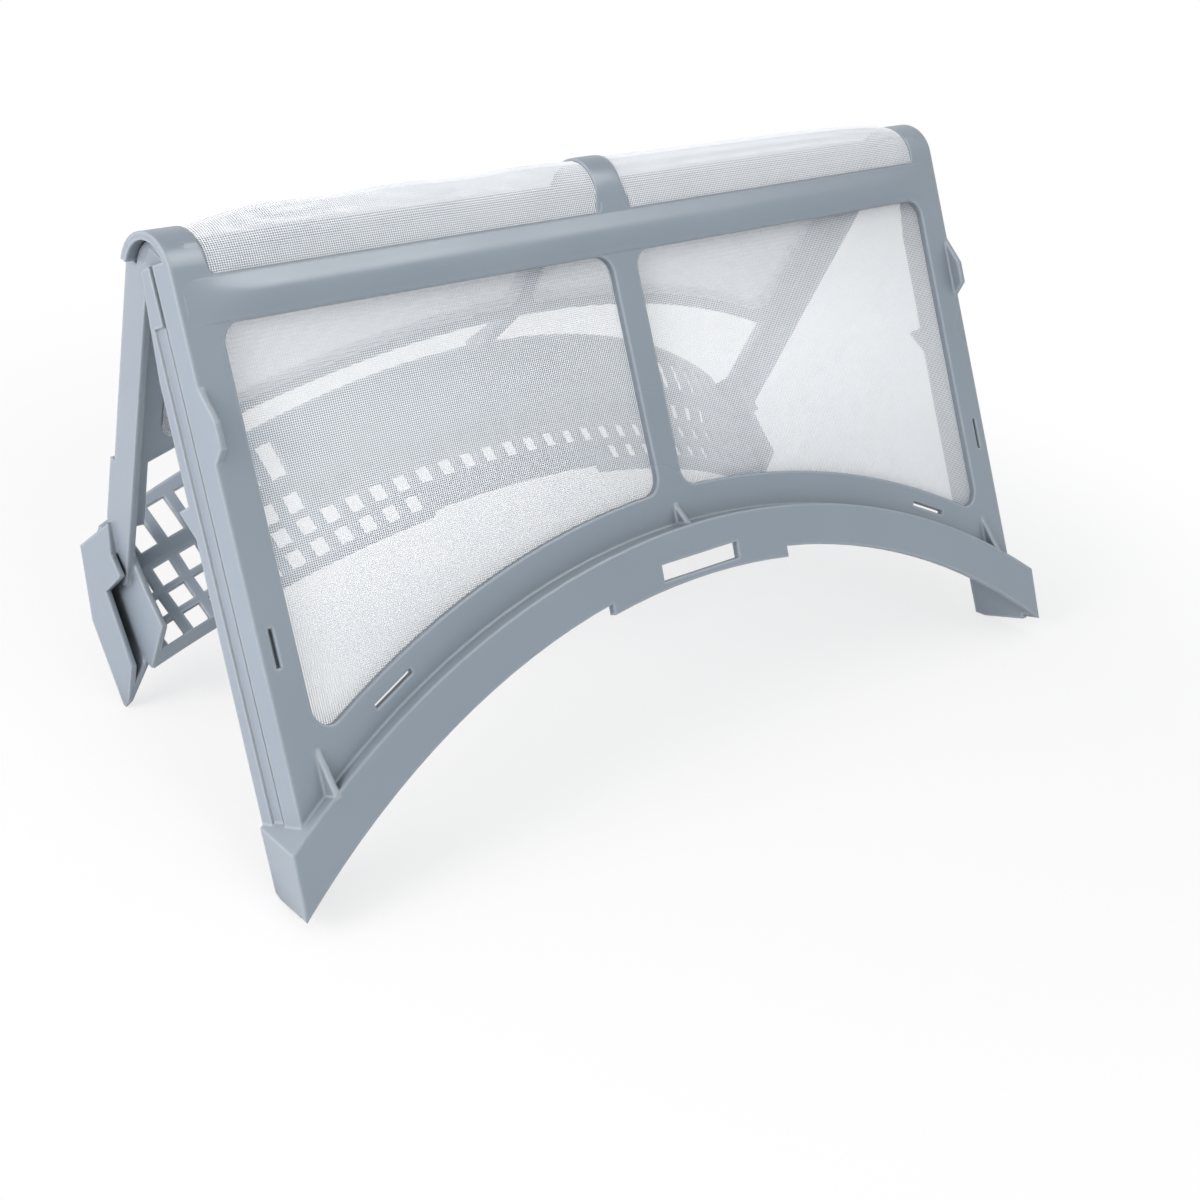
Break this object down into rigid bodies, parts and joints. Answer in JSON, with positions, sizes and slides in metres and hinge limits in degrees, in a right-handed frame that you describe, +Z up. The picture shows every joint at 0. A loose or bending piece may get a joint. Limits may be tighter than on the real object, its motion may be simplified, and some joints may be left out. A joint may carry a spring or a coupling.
{
  "type": "tumble dryer lint filter",
  "caption": "Folding tumble dryer lint filter: an arched plastic frame with fine gauze windows, rolled top edge and sill, hinged to a rear half with a perforated scoop.",
  "frame": {"origin": "middle of the footprint's bounding box, on the floor that the four feet stand on", "axes": "+X to the right as the front face is seen, along the hinge line; +Y from the front half to the rear half; +Z up"},
  "size_m": [0.2924, 0.132, 0.1418],
  "materials": {
    "grey_plastic": "fine satin moulded grain",
    "white_gauze": "fine woven polyester gauze, see-through"
  },
  "bodies": {
    "front_half": {"front_frame": "grey_plastic", "front_mesh_left": "white_gauze", "front_mesh_right": "white_gauze", "roll_mesh_left": "white_gauze", "roll_mesh_right": "white_gauze"},
    "rear_half": {"rear_frame": "grey_plastic", "rear_mesh_left": "white_gauze", "rear_mesh_right": "white_gauze"}
  },
  "joints": [
    {"name": "fold", "type": "hinge", "parent": "front_half", "child": "rear_half", "pos_m": [0, 0.01935, 0.13131], "axis": [1, 0, 0], "range_deg": [-38, 0]}
  ]
}
